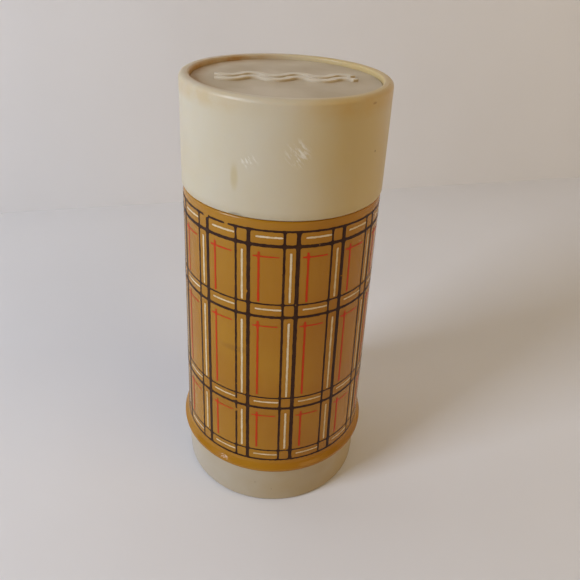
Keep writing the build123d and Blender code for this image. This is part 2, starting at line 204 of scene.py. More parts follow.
@dataclass(frozen=True)
class MouldedPlastic(Finish):
    """Injection-moulded polyolefin, aged by use.

    The flow of the melt leaves it almost even in colour, and its skin copies a polished steel mould, with a
    faint orange peel that breaks the edges of reflections. Age yellows it in soft patches, and handling
    leaves hairline scratches that show only where light glances off them.

    Attributes:
        colour: The plastic's colour where it has aged least.
        aged_and_shaded_colour: Its colour where it has aged most, and the colour of the painted shade on
            shaded_side.
        patch_mm: The size of the aged patches.
        patch_share: How much the patches age it where painted shade is laid on shaded_side.
        shaded_side: The direction, from the axis, of the side darkened as painted shade. No length means
            none.
        shade_range: Where along it the painted shade starts and is complete, as shares of the radius.
        roughness: Roughness of clean skin.
        roughness_spread: How far handling changes it.
        gloss: Strength of head-on reflections. 0.5 is what the IOR alone gives, and a greasy skin has less.
        peel_mm: The orange peel's wavelength.
        peel_depth_mm: The orange peel's depth.
        scatter: The share of light that enters the skin and comes out beside it.
        scatter_mm: How far it travels.
        scratch_depth_mm: The hairlines' depth.
        speck_share: How much of the surface specks of dirt take up, at most.
        speck_colour: The specks' colour.
        blemishes: Marks of use at their own places.
        dirt_and_light_rings: Rings of settled dirt, of painted shade in recesses and of painted light through
            rims.
        rubbed_and_highlight_above_mm: Height above which an ornament is paler, rubbed and painted as
            highlight. At 0 none is.
        rubbed_and_highlight_colour: The colour of its tops, partly rubbed and partly a painted highlight.
        polished_below_mm: The height below which the skin is polished, as on a bead that hands slide over.
    """

    colour: str
    aged_and_shaded_colour: str
    patch_mm: float = 22.0
    patch_share: float = 0.3
    shaded_side: tuple[float, float, float] = (0.0, 0.0, 0.0)
    shade_range: tuple[float, float] = (-1.0, 1.0)
    roughness: float = 0.35
    roughness_spread: float = 0.12
    gloss: float = 0.5
    peel_mm: float = 0.9
    peel_depth_mm: float = 0.012
    scatter: float = 0.0
    scatter_mm: float = 2.0
    scratch_depth_mm: float = 0.02
    speck_share: float = 0.04
    speck_colour: str = "#4A3420"
    blemishes: tuple[Blemish, ...] = ()
    dirt_and_light_rings: tuple[DirtAndPaintedLightRing, ...] = ()
    rubbed_and_highlight_above_mm: float = 0.0
    rubbed_and_highlight_colour: str = "#C9BDA6"
    polished_below_mm: float = 0.0

    def lay(self, coat: Coat) -> None:
        """Lay age, wear, dirt and painted light and shade over the plastic, with polypropylene's IOR of 1.49.

        Args:
            coat: The material so far.
        """
        coat.values = {
            "IOR": 1.49,
            "Specular IOR Level": self.gloss,
            "Subsurface Weight": self.scatter,
            "Subsurface Radius": (1.0, 0.72, 0.42),
            "Subsurface Scale": self.scatter_mm * MILLIMETRE,
        }
        wide = {"Scale": per_metre(self.patch_mm), "Detail": 2.0, "Roughness": 0.45}
        patches = coat.add("TexNoise", wide)
        half = self.roughness_spread / 2
        limits = {"From Min": 0.3, "From Max": 0.7, "To Min": self.roughness - half}
        coat.rough = coat.add("MapRange", {**limits, "To Max": self.roughness + half}, {"Value": patches})
        self._age(coat, patches)
        self._rub_and_highlight(coat)
        wear = self._mark(coat)
        self._soil_and_paint_light(coat)
        self._speck(coat)
        torn = {"operation": "MULTIPLY_ADD", 1: 0.3, "use_clamp": True}
        coat.rough = coat.add("Math", torn, {0: wear, 2: coat.rough})
        self._polish(coat)
        self._shape_skin(coat, wear)

    def _age(self, coat: Coat, patches: Socket) -> None:
        """Mix the two colours by soft patches of age, and by painted shade on the side turned from the
        window.

        Args:
            coat: The material so far.
            patches: The soft patches.
        """
        amount = coat.add("MapRange", {"From Min": 0.32, "From Max": 0.68}, {"Value": patches})
        # Painted shade: the side turned from the window is mixed towards the aged colour, darker and
        # yellower.
        side = Vector(self.shaded_side)
        if side.length:
            widest = 0.038
            across = {"operation": "DOT_PRODUCT", 1: side.normalized() / widest}
            along = coat.add("VectorMath", across, output="Value")
            start, end = self.shade_range
            reach = {"interpolation_type": "SMOOTHSTEP", "From Min": start, "From Max": end}
            swept = coat.add("MapRange", reach, {"Value": along})
            both = {"operation": "MULTIPLY_ADD", 1: self.patch_share, "use_clamp": True}
            amount = coat.add("Math", both, {0: amount, 2: swept})
        shades = {"data_type": "RGBA", 6: srgb(self.colour), 7: srgb(self.aged_and_shaded_colour)}
        coat.colour = coat.add("Mix", shades, {0: amount}, 2)

    def _rub_and_highlight(self, coat: Coat) -> None:
        """Make the top of a raised ornament paler, as rubbed and as painted highlight, and smoother.

        Args:
            coat: The material so far.
        """
        if not self.rubbed_and_highlight_above_mm:
            return
        height = coat.add("SeparateXYZ", {}, output="Z")
        start = self.rubbed_and_highlight_above_mm * MILLIMETRE
        top = {"From Min": start, "From Max": start + 0.5 * MILLIMETRE}
        rubbed = coat.add("MapRange", top, {"Value": height})
        # The paler tops are partly rubbed and partly a painted highlight.
        paler = {"data_type": "RGBA", 7: srgb(self.rubbed_and_highlight_colour)}
        coat.colour = coat.add("Mix", paler, {0: rubbed, 6: coat.colour}, 2)
        smoother = {"operation": "MULTIPLY_ADD", 1: -0.14, "use_clamp": True}
        coat.rough = coat.add("Math", smoother, {0: rubbed, 2: coat.rough})

    def _polish(self, coat: Coat) -> None:
        """Lower the roughness where hands slide over the skin.

        Args:
            coat: The material so far.
        """
        if not self.polished_below_mm:
            return
        height = coat.add("SeparateXYZ", {}, output="Z")
        edge = self.polished_below_mm * MILLIMETRE
        limits = {"From Min": edge - MILLIMETRE, "From Max": edge, "To Min": 0.4}
        kept = coat.add("MapRange", limits, {"Value": height})
        coat.rough = coat.add("Math", {"operation": "MULTIPLY"}, {0: coat.rough, 1: kept})

    def _mark(self, coat: Coat) -> Socket:
        """Lay the blemishes over the colour.

        Args:
            coat: The material so far.

        Returns:
            How scuffed the surface is at each place.
        """
        worn = coat.add("Value", {}, {})
        worn.default_value = 0.0
        # Rubbing draws a scuff out into short streaks, all leaning the same way.
        lean = {"vector_type": "TEXTURE", "Scale": (1.0, 1.0, 4.5), "Rotation": (0.0, -0.7, 0.0)}
        drawn_out = coat.add("Mapping", lean)
        fine = {"Scale": per_metre(1.0), "Detail": 4.0, "Roughness": 0.65}
        streaks = coat.add("TexNoise", fine, {"Vector": drawn_out})
        for blemish in self.blemishes:
            middle = {"operation": "SUBTRACT", 1: Vector(blemish.place_mm) * MILLIMETRE}
            aside = coat.add("VectorMath", middle)
            size = {"operation": "DIVIDE", 1: Vector(blemish.reach_mm) * MILLIMETRE}
            scaled = coat.add("VectorMath", size, {0: aside})
            reach = coat.add("VectorMath", {"operation": "LENGTH"}, {0: scaled}, "Value")
            fade = {"interpolation_type": "SMOOTHERSTEP", "From Min": 1.0, "From Max": 0.2}
            here = coat.add("MapRange", {**fade, "To Max": blemish.strength}, {"Value": reach})
            if blemish.kind is Mark.SCUFF:
                broken = coat.add("MapRange", {"From Min": 0.5, "From Max": 0.62}, {"Value": streaks})
                here = coat.add("Math", {"operation": "MULTIPLY"}, {0: here, 1: broken})
                worn = coat.add("Math", {"operation": "MAXIMUM"}, {0: worn, 1: here})
            marked = {"data_type": "RGBA", 7: srgb(blemish.colour)}
            coat.colour = coat.add("Mix", marked, {0: here, 6: coat.colour}, 2)
        return worn

    def _soil_and_paint_light(self, coat: Coat) -> None:
        """Tint the rings: dirt where washing does not reach, painted shade in recesses, painted light in
        rims.

        Args:
            coat: The material so far.
        """
        if not self.dirt_and_light_rings:
            return
        split = coat.add("SeparateXYZ", {}).node.outputs
        flat = coat.add("CombineXYZ", {}, {0: split["X"], 1: split["Y"]})
        radius = coat.add("VectorMath", {"operation": "LENGTH"}, {0: flat}, "Value")
        uneven = {"Scale": per_metre(7.0), "Detail": 5.0, "Roughness": 0.65}
        ragged = coat.add("TexNoise", uneven)
        patchy = coat.add("MapRange", {"From Min": 0.3, "From Max": 0.6, "To Min": 0.25}, {"Value": ragged})
        for ring in self.dirt_and_light_rings:
            ring_radius, width = ring.radius_mm * MILLIMETRE, ring.width_mm * MILLIMETRE
            aside = coat.add("Math", {"operation": "SUBTRACT", 1: ring_radius}, {0: radius})
            foot = {"operation": "SUBTRACT", 1: ring.height_mm * MILLIMETRE}
            above = coat.add("Math", foot, {0: split["Z"]})
            offset = coat.add("CombineXYZ", {}, {0: aside, 1: above})
            away = coat.add("VectorMath", {"operation": "LENGTH"}, {0: offset}, "Value")
            fade = {"From Min": width, "From Max": width / 4, "To Max": ring.strength}
            near = coat.add("MapRange", fade, {"Value": away})
            amount = coat.add("Math", {"operation": "MULTIPLY"}, {0: near, 1: patchy})
            if any(ring.side):
                towards = Vector((*ring.side, 0)).normalized() / ring_radius
                across = {"operation": "DOT_PRODUCT", 1: towards}
                along = coat.add("VectorMath", across, {0: flat}, "Value")
                dense = {"interpolation_type": "SMOOTHSTEP", "From Min": 0.0, "From Max": 0.9}
                swept = coat.add("MapRange", dense, {"Value": along})
                amount = coat.add("Math", {"operation": "MULTIPLY"}, {0: amount, 1: swept})
            # Painted shade in recesses and painted light through rims are tinted here, beside real dirt.
            dirt = {"data_type": "RGBA", 7: srgb(ring.colour)}
            coat.colour = coat.add("Mix", dirt, {0: amount, 6: coat.colour}, 2)

    def _speck(self, coat: Coat) -> None:
        """Scatter specks of dirt, each a fraction of a millimetre across, over one cell in several.

        Args:
            coat: The material so far.
        """
        cell_mm, radius, cover = 5.0, 0.075, 0.75
        distance = coat.add("TexVoronoi", {"Scale": per_metre(cell_mm)})
        drawn = {"From Min": 1.0 - self.speck_share * 4, "From Max": 1.0, "To Max": radius}
        size = coat.add("MapRange", drawn, {"Value": distance.node.outputs["Color"]})
        dot = coat.add("Math", {"operation": "LESS_THAN"}, {0: distance, 1: size})
        amount = coat.add("Math", {"operation": "MULTIPLY", 1: cover}, {0: dot})
        specks = {"data_type": "RGBA", 7: srgb(self.speck_colour)}
        coat.colour = coat.add("Mix", specks, {0: amount, 6: coat.colour}, 2)

    def _shape_skin(self, coat: Coat, wear: Socket) -> None:
        """Shape the skin: orange peel, hairline scratches and the tearing of scuffs.

        Args:
            coat: The material so far.
            wear: How scuffed the surface is.
        """
        peel = coat.add("TexNoise", {"Scale": per_metre(self.peel_mm), "Detail": 1.0})
        depth = {"Strength": 1.0, "Distance": self.peel_depth_mm * MILLIMETRE}
        peeled = coat.add("Bump", depth, {"Height": peel})
        # A hairline follows one level of a field that is drawn out up the flask, and only parts of it show.
        level, half_width, shown = 0.56, 0.002, 0.6
        upward = {"Scale": (1.0, 1.0, 0.05), "Rotation": (0.12, 0.08, 0.0)}
        stretched = coat.add("Mapping", upward)
        drift = coat.add("TexNoise", {"Scale": per_metre(6.0), "Detail": 1.0}, {"Vector": stretched})
        line = coat.add("Math", {"operation": "COMPARE", 1: level, 2: half_width}, {0: drift})
        broken = coat.add("TexNoise", {"Scale": per_metre(11.0), "Detail": 2.0})
        kept = coat.add("Math", {"operation": "GREATER_THAN", 1: shown}, {0: broken})
        hairline = coat.add("Math", {"operation": "MULTIPLY"}, {0: line, 1: kept})
        cut = {"Strength": 0.5, "Distance": self.scratch_depth_mm * MILLIMETRE, "invert": True}
        scratched = coat.add("Bump", cut, {"Height": hairline, "Normal": peeled})
        scuff = {"Strength": 0.5, "Distance": 0.08 * MILLIMETRE}
        coat.normal = coat.add("Bump", scuff, {"Height": wear, "Normal": scratched})


@dataclass(frozen=True)
class ScreenInk(Finish):
    """Screen-printed vinyl ink. It dries to a satin film, and where that is thin the plastic tints it.

    Attributes:
        colour: The ink where its film is full.
        thin_colour: The ink where its film is thin.
    """

    colour: str
    thin_colour: str

    def lay(self, coat: Coat) -> None:
        """Vary the film's thickness, with ink's usual IOR of 1.5 and the dull skin of an old print.

        Args:
            coat: The material so far.
        """
        coat.values = {"IOR": 1.5, "Specular IOR Level": 0.16}
        uneven = {"Scale": per_metre(3.5), "Detail": 5.0, "Roughness": 0.7}
        film = coat.add("TexNoise", uneven)
        thin = coat.add("MapRange", {"From Min": 0.42, "From Max": 0.72}, {"Value": film})
        shades = {"data_type": "RGBA", 6: srgb(self.colour), 7: srgb(self.thin_colour)}
        coat.colour = coat.add("Mix", shades, {0: thin}, 2)
        coat.rough = coat.add("MapRange", {"To Min": 0.36, "To Max": 0.56}, {"Value": film})
        # The screen's mesh leaves ripples about 0.25 mm apart, drawn as coarse as 0.5 mm so that they show.
        weave = coat.add("TexNoise", {"Scale": per_metre(0.5), "Detail": 2.0})
        ripples = {"Strength": 0.7, "Distance": 0.01 * MILLIMETRE}
        coat.normal = coat.add("Bump", ripples, {"Height": weave})


@dataclass(frozen=True)
class SilveredGlass(Finish):
    """Blown borosilicate glass, silvered chemically on its vacuum side.

    It reads as a mirror behind a clear skin: bright, slightly wavy from blowing, with drifts where the
    silver is thin.

    Attributes:
        silver: The silver's colour.
        thin_silver: Its colour where the layer is thin.
    """

    silver: str = "#DCDDD8"
    thin_silver: str = "#A9A294"

    def lay(self, coat: Coat) -> None:
        """Give a metal, with a clear coat of glass.

        Args:
            coat: The material so far.
        """
        coat.values = {"Metallic": 1.0, "Coat Weight": 1.0, "Coat Roughness": 0.02, "Coat IOR": 1.5}
        clouds = {"Scale": per_metre(18.0), "Detail": 5.0, "Distortion": 0.8}
        drift = coat.add("TexNoise", clouds)
        thin = coat.add("MapRange", {"From Min": 0.5, "From Max": 0.75}, {"Value": drift})
        shades = {"data_type": "RGBA", 6: srgb(self.silver), 7: srgb(self.thin_silver)}
        coat.colour = coat.add("Mix", shades, {0: thin}, 2)
        coat.rough = coat.add("MapRange", {"To Min": 0.04, "To Max": 0.16}, {"Value": drift})
        waves = coat.add("TexNoise", {"Scale": per_metre(14.0), "Detail": 1.0})
        coat.normal = coat.add("Bump", {"Strength": 0.5, "Distance": 0.3 * MILLIMETRE}, {"Height": waves})


@dataclass(frozen=True)
class SoftFiller(Finish):
    """A soft packing material: rubber, foam or pressed fibre.

    Its surface is matte and grainy, so it shows no clear reflection.

    Attributes:
        colour: Its main colour.
        second_colour: The colour it varies towards.
        grain_mm: The size of its grain or cells.
        grain_depth_mm: The depth of its grain.
        roughness: Its roughness.
        sheen: How much it lightens at grazing angles.
    """

    colour: str
    second_colour: str
    grain_mm: float
    grain_depth_mm: float
    roughness: float
    sheen: float = 0.0

    def lay(self, coat: Coat) -> None:
        """Give cells of the grain's size and broader drifts of colour, with rubber's IOR of 1.5.

        Args:
            coat: The material so far.
        """
        coat.values = {"IOR": 1.5, "Sheen Weight": self.sheen, "Sheen Roughness": 0.5}
        cells = coat.add("TexVoronoi", {"Scale": per_metre(self.grain_mm)})
        broad = {"Scale": per_metre(self.grain_mm * 9), "Detail": 4.0}
        drift = coat.add("TexNoise", broad)
        both = coat.add("Math", {"operation": "MULTIPLY_ADD", 1: 0.35}, {0: cells, 2: drift})
        amount = coat.add("MapRange", {"From Min": 0.4, "From Max": 0.9}, {"Value": both})
        shades = {"data_type": "RGBA", 6: srgb(self.colour), 7: srgb(self.second_colour)}
        coat.colour = coat.add("Mix", shades, {0: amount}, 2)
        limits = {"To Min": self.roughness - 0.08, "To Max": self.roughness + 0.08}
        coat.rough = coat.add("MapRange", limits, {"Value": drift})
        grain = {"Strength": 0.8, "Distance": self.grain_depth_mm * MILLIMETRE}
        coat.normal = coat.add("Bump", grain, {"Height": cells})


@dataclass(frozen=True)
class PaintedBoard(Finish):
    """White-painted board for the floor and the walls behind: matte, very slightly uneven."""

    name: str = "white_painted_board"
    colour: str = "#E4E2E0"
    second_colour: str = "#DBD8D5"

    def lay(self, coat: Coat) -> None:
        """Give a broad unevenness that keeps it from looking blank, under flat emulsion paint.

        Args:
            coat: The material so far.
        """
        coat.values = {"IOR": 1.45, "Roughness": 0.9, "Specular IOR Level": 0.2}
        drift = coat.add("TexNoise", {"Scale": per_metre(160.0), "Detail": 3.0})
        shades = {"data_type": "RGBA", 6: srgb(self.colour), 7: srgb(self.second_colour)}
        coat.colour = coat.add("Mix", shades, {0: drift}, 2)
        coat.normal = coat.add("Bump", {"Strength": 0.25, "Distance": 4 * MILLIMETRE}, {"Height": drift})


def dress(finish: Finish, *nodes: str) -> None:
    """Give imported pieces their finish, and report them.

    Args:
        finish: The finish that they share.
        nodes: The CAD nodes' names.
    """
    material = finish.material()
    for node in nodes:
        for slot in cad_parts[node].material_slots:
            slot.material = material
        log.info("%s: %s", node, material.name)


def mesh_piece(name: str, points: np.ndarray, faces: Faces, finish: Finish) -> bpy.types.Object:
    """Make a smooth mesh object.

    Args:
        name: The piece's name.
        points: One row of X, Y and Z for each vertex.
        faces: The vertex numbers of each face.
        finish: Its finish.

    Returns:
        The object, linked to the scene.
    """
    mesh = bpy.data.meshes.new(name)
    mesh.from_pydata(points.tolist(), [], faces)
    mesh.validate()
    mesh.shade_smooth()
    mesh.materials.append(finish.material())
    piece = bpy.data.objects.new(name, mesh)
    bpy.context.scene.collection.objects.link(piece)
    log.info("%s: %d faces, %s", name, len(faces), finish.name)
    return piece


@dataclass(frozen=True)
class Stroke:
    """One printed line, running round the jacket or up it.

    Attributes:
        angle: Its middle, in degrees round from the print's first heavy line.
        height_mm: Its middle's height.
        across_mm: Its size round the jacket. None runs all the way round.
        tall_mm: Its size up the jacket.
    """

    angle: float
    height_mm: float
    across_mm: float | None
    tall_mm: float


@dataclass(frozen=True)
class LightLines:
    """The lines that a light ink prints in every panel: uprights in the windows, and level bars.

    Attributes:
        slot: The name of their ink, which their piece is named after.
        ink: Their finish.
        angle: The uprights' angle after the heavy line on their left, or if below 0, before the next one.
        wide_mm: The uprights' width.
        uprights_mm: The lowest and highest point of each.
        gaps: The bars' gaps from the heavy lines on their left and right.
        tall_mm: The bars' width.
        bars_mm: The height of each.
    """

    slot: str
    ink: ScreenInk
    angle: float
    wide_mm: float
    uprights_mm: tuple[tuple[float, float], ...]
    gaps: tuple[float, float]
    tall_mm: float
    bars_mm: tuple[float, ...]


@dataclass
class PlaidPrint:
    """The plaid that is screen-printed round the jacket, wound on a little out of plumb.

    Each ink is a film of its own, cut to the shape of its strokes. The ink has run together in the corners
    where lines cross, and its edges are a little ragged. Angles here are from a panel's heavy line.

    Attributes:
        panel: Angle from one heavy line to the next.
        panels: How many panels are whole. A narrower one at the back takes up what is left.
        first_line: Angle of the first heavy line at the plumb height.
        lean: Degrees that the lines lean, for each millimetre of height.
        plumb_mm: The height at which the angles are true.
        foot_mm: Height and radius of the wall near its foot.
        head_mm: Height and radius of the wall at its head.
        film_mm: How far the ink stands proud of the wall.
        rings_mm: Height and width of each dark ring round the jacket.
        heavy_mm: Width of the heavy dark line.
        light_mm: Width of the light dark line.
        light_angle: Its angle after the heavy line.
        worn_mm: Gaps in the dark ink: angle round the flask, height, width, and height of the gap.
        chips: How many smaller chips are scattered.
        ragged_mm: Wavelength and swing of the unevenness along the ink's edges.
        fine_mm: The grid's step across an edge.
        coarse_mm: Its step elsewhere.
        seed: What the chances are drawn from.
        dark: The dark ink.
        light_inks: The lines of the two light inks.
    """

    panel: float = 26.0
    panels: int = 13
    first_line: float = 100.4
    lean: float = -0.0188
    plumb_mm: float = 71.2
    foot_mm: tuple[float, float] = (25.9, 40.6)
    head_mm: tuple[float, float] = (139.0, 37.7)
    film_mm: float = 0.045
    rings_mm: tuple[tuple[float, float], ...] = (
        (135.4, 0.8),
        (129.9, 1.25),
        (106.5, 0.64),
        (101.1, 1.1),
        (62.3, 0.64),
        (56.9, 1.15),
        (32.9, 0.7),
        (27.3, 1.0),
    )
    heavy_mm: float = 1.4
    light_mm: float = 0.9
    light_angle: float = 18.8
    worn_mm: tuple[tuple[float, float, float, float], ...] = (
        (228.0, 135.6, 2.6, 1.6),
        (242.2, 135.5, 1.4, 1.3),
        (249.2, 58.6, 1.4, 1.0),
        (249.2, 53.0, 1.4, 1.4),
        (249.6, 110.4, 0.7, 0.8),
        (249.7, 66.8, 0.6, 0.7),
        (249.4, 84.0, 0.5, 0.6),
    )
    chips: int = 60
    ragged_mm: tuple[tuple[float, float], ...] = ((2.6, 0.03), (0.9, 0.024))
    fine_mm: float = 0.17
    coarse_mm: float = 0.6
    seed: int = 4
    dark: ScreenInk = ScreenInk("dark_brown_screen_ink", "#301808", "#422810")
    light_inks: tuple[LightLines, ...] = (
        LightLines(
            slot="red_ink",
            ink=ScreenInk("red_screen_ink", "#BC3205", "#AC3E08"),
            angle=5.5,
            wide_mm=0.8,
            uprights_mm=((107.4, 127.5), (63.7, 98.9), (34.5, 54.5)),
            gaps=(2.3, 9.6),
            tall_mm=0.55,
            bars_mm=(125.7, 96.9, 52.6),
        ),
        LightLines(
            slot="cream_ink",
            ink=ScreenInk("cream_screen_ink", "#D4C19C", "#BEA36E"),
            angle=-3.6,
            wide_mm=0.75,
            uprights_mm=((107.4, 127.4), (63.0, 98.5), (34.0, 54.2)),
            gaps=(3.7, 7.9),
            tall_mm=0.65,
            bars_mm=(133.1, 104.3, 60.1, 30.45),
        ),
    )

    def radius(self, height_mm: np.ndarray) -> np.ndarray:
        """Radius of the jacket's wall, in millimetres, at each height."""
        (low, wide), (high, narrow) = self.foot_mm, self.head_mm
        return wide + (narrow - wide) * (height_mm - low) / (high - low)

    def panel_starts(self) -> list[tuple[float, float]]:
        """Angle of each heavy line from the first, with the width of the panel that follows it."""
        whole = [(self.panel * count, self.panel) for count in range(self.panels)]
        return [*whole, (self.panel * self.panels, 360 - self.panel * self.panels)]

    def dark_strokes(self) -> list[Stroke]:
        """Lay out the rings and the dark uprights, whose widths vary a little as the squeegee lifted.

        Returns:
            Their strokes.
        """
        chance = np.random.default_rng(self.seed)
        top, bottom = self.rings_mm[0][0], self.rings_mm[-1][0]
        middle, tall = (top + bottom) / 2, top - bottom
        strokes = [Stroke(0.0, height, None, width) for height, width in self.rings_mm]
        for start, width in self.panel_starts():
            strokes.append(Stroke(start, middle, self.heavy_mm * chance.uniform(0.93, 1.05), tall))
            light = self.light_mm * chance.uniform(0.72, 1.05)
            strokes.append(Stroke(start + width - (self.panel - self.light_angle), middle, light, tall))
        return strokes

    def light_strokes(self, lines: LightLines) -> list[Stroke]:
        """Repeat a light ink's lines in every panel.

        Args:
            lines: The lines.

        Returns:
            Their strokes.
        """
        strokes = []
        for start, width in self.panel_starts():
            column = start + lines.angle + (width if lines.angle < 0 else 0)
            for low, high in lines.uprights_mm:
                strokes.append(Stroke(column, (low + high) / 2, lines.wide_mm, high - low))
            left, right = start + lines.gaps[0], start + width - lines.gaps[1]
            for height in lines.bars_mm:
                across = math.radians(right - left) * self.radius(height)
                strokes.append(Stroke((left + right) / 2, height, across, lines.tall_mm))
        return strokes

    def _grid(self, strokes: list[Stroke]) -> tuple[np.ndarray, np.ndarray]:
        """Lay out a grid that is fine across each line and coarse along it.

        Args:
            strokes: The strokes that it has to resolve.

        Returns:
            The columns' angles and the rows' heights.
        """
        margin_mm, end_angle, end_mm = 0.7, 0.6, 0.8
        degree_mm = math.radians(1) * self.radius(self.plumb_mm)
        uprights = [s for s in strokes if s.across_mm and s.across_mm < s.tall_mm]
        level = [s for s in strokes if not s.across_mm or s.across_mm >= s.tall_mm]
        bounds_x = [(s.angle, (s.across_mm / 2 + margin_mm) / degree_mm) for s in uprights]
        ends = [(s, end) for s in level if s.across_mm for end in (-1, 1)]
        bounds_x += [(s.angle + end * s.across_mm / 2 / degree_mm, end_angle) for s, end in ends]
        bounds_z = [(s.height_mm, s.tall_mm / 2 + margin_mm) for s in level]
        bounds_z += [(s.height_mm + end * s.tall_mm / 2, end_mm) for s in uprights for end in (-1, 1)]
        seam, lowest_mm, highest_mm, never = -11.0, 26.2, 136.6, 1e9
        fine, coarse = self.fine_mm, self.coarse_mm
        columns = self._graded(seam, seam + 360, bounds_x, fine / degree_mm, coarse / degree_mm, 360.0)
        return columns, self._graded(lowest_mm, highest_mm, bounds_z, fine, coarse, never)

    @staticmethod
    def _graded(start: float, stop: float, near: list, fine: float, coarse: float, turn: float) -> np.ndarray:
        """Step from start to stop, in fine steps near the given places and coarse ones elsewhere.

        Args:
            start: Where to begin.
            stop: Where to end.
            near: Places, each with its half-width.
            fine: The step near them.
            coarse: The step elsewhere.
            turn: The length after which places repeat.

        Returns:
            The positions.
        """
        middles = np.array([middle for middle, _ in near])
        halves = np.array([half for _, half in near])
        places = [start]
        while places[-1] < stop - fine:
            away = np.abs((places[-1] - middles + turn / 2) % turn - turn / 2) - halves
            gap = away.min()
            places.append(places[-1] + (fine if gap < fine else min(coarse, gap)))
        return np.array([*places[:-1], stop])

    def _ink_depth(self, strokes: list[Stroke], columns: np.ndarray, rows: np.ndarray) -> np.ndarray:
        """Measure how far inside the ink each grid point lies, in millimetres, with ragged edges.

        Args:
            strokes: The strokes of one ink.
            columns: The grid's angles.
            rows: The grid's heights.

        Returns:
            One row for each height: positive inside the ink, negative outside.
        """
        angle, height = np.meshgrid(columns, rows)
        radius = self.radius(height)
        along = np.radians(angle) * radius
        # Where lines cross, ink fills the corner over about spread, and a line's own corner rounds by sharp.
        spread, sharp, outside, beyond = 0.28, 0.09, -9.0, -3.0
        depth = np.full(angle.shape, outside)
        for stroke in strokes:
            level = stroke.tall_mm / 2 - np.abs(height - stroke.height_mm)
            if stroke.across_mm is None:
                shape = level
            else:
                turned = (angle - stroke.angle + 180) % 360 - 180
                side = stroke.across_mm / 2 - np.abs(np.radians(turned) * radius)
                shape = -sharp * np.logaddexp(-side / sharp, -level / sharp)
            near = shape > beyond
            depth[near] = spread * np.logaddexp(depth[near] / spread, shape[near] / spread)
        for wavelength, swing in self.ragged_mm:
            depth += swing * self._ripple(wavelength, along, height)
        return depth

    def _ripple(self, wavelength_mm: float, along: np.ndarray, up: np.ndarray) -> np.ndarray:
        """Make a smooth random field over the wall, of about unit height, from waves in seeded directions.

        Args:
            wavelength_mm: The waves' middling length.
            along: Distance round the wall, in millimetres.
            up: Height, in millimetres.

        Returns:
            The field at each place.
        """
        waves, chance = 9, np.random.default_rng(self.seed)
        total = np.zeros(along.shape)
        for _ in range(waves):
            heading, phase = chance.uniform(0, 2 * math.pi, 2)
            pace = 2 * math.pi / (wavelength_mm * chance.uniform(0.6, 1.6))
            total += np.cos(pace * (along * math.cos(heading) + up * math.sin(heading)) + phase)
        return total / math.sqrt(waves / 2)

    def worn_places(self) -> list[tuple[float, float, float, float]]:
        """Scatter small chips over the print, beside the worn places that are listed.

        Returns:
            The angle, height, width, and height of the gap, for each of both kinds.
        """
        chance = np.random.default_rng(self.seed + 9)
        places = list(self.worn_mm)
        for _ in range(self.chips):
            size = chance.uniform(0.25, 0.75)
            place, up = chance.uniform(0, 360), chance.uniform(27, 136)
            places.append((place, up, size, size * chance.uniform(0.6, 1.6)))
        return places

    def _wear(self, depth: np.ndarray, columns: np.ndarray, rows: np.ndarray) -> np.ndarray:
        """Take ink away where it is worn through.

        Args:
            depth: How far inside the ink each grid point lies.
            columns: The grid's angles.
            rows: The grid's heights.

        Returns:
            The depth, with the worn places outside the ink.
        """
        angle, height = np.meshgrid(columns, rows)
        radius = self.radius(height)
        for place, up, wide, tall in self.worn_places():
            turned = angle + self.first_line - place + self.lean * (height - self.plumb_mm)
            aside = np.radians((turned + 180) % 360 - 180) * radius
            reach = np.hypot(aside / wide, (height - up) / tall)
            depth = np.minimum(depth, (reach - 0.5) * min(wide, tall))
        return depth

    def _film(self, slot: str, strokes: list[Stroke], ink: ScreenInk, worn: bool) -> None:
        """Cut one ink's film and wrap it round the jacket.

        Args:
            slot: The name of its ink, which its piece is named after.
            strokes: Its strokes.
            ink: Its finish.
            worn: Whether it is worn through in places.
        """
        columns, rows = self._grid(strokes)
        depth = self._ink_depth(strokes, columns, rows)
        if worn:
            depth = self._wear(depth, columns, rows)
        flat, faces = cut_sheet(depth, columns, rows)
        angle = np.radians(self.first_line + flat[:, 0] + self.lean * (flat[:, 1] - self.plumb_mm))
        radius = self.radius(flat[:, 1]) + self.film_mm
        points = np.column_stack([radius * np.cos(angle), radius * np.sin(angle), flat[:, 1]]) / 1000
        piece = mesh_piece(f"plaid_{slot}", points, faces, ink)
        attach(piece, "casing")

    def build(self) -> None:
        """Print the three inks."""
        self._film("dark_ink", self.dark_strokes(), self.dark, True)
        for lines in self.light_inks:
            self._film(lines.slot, self.light_strokes(lines), lines.ink, False)


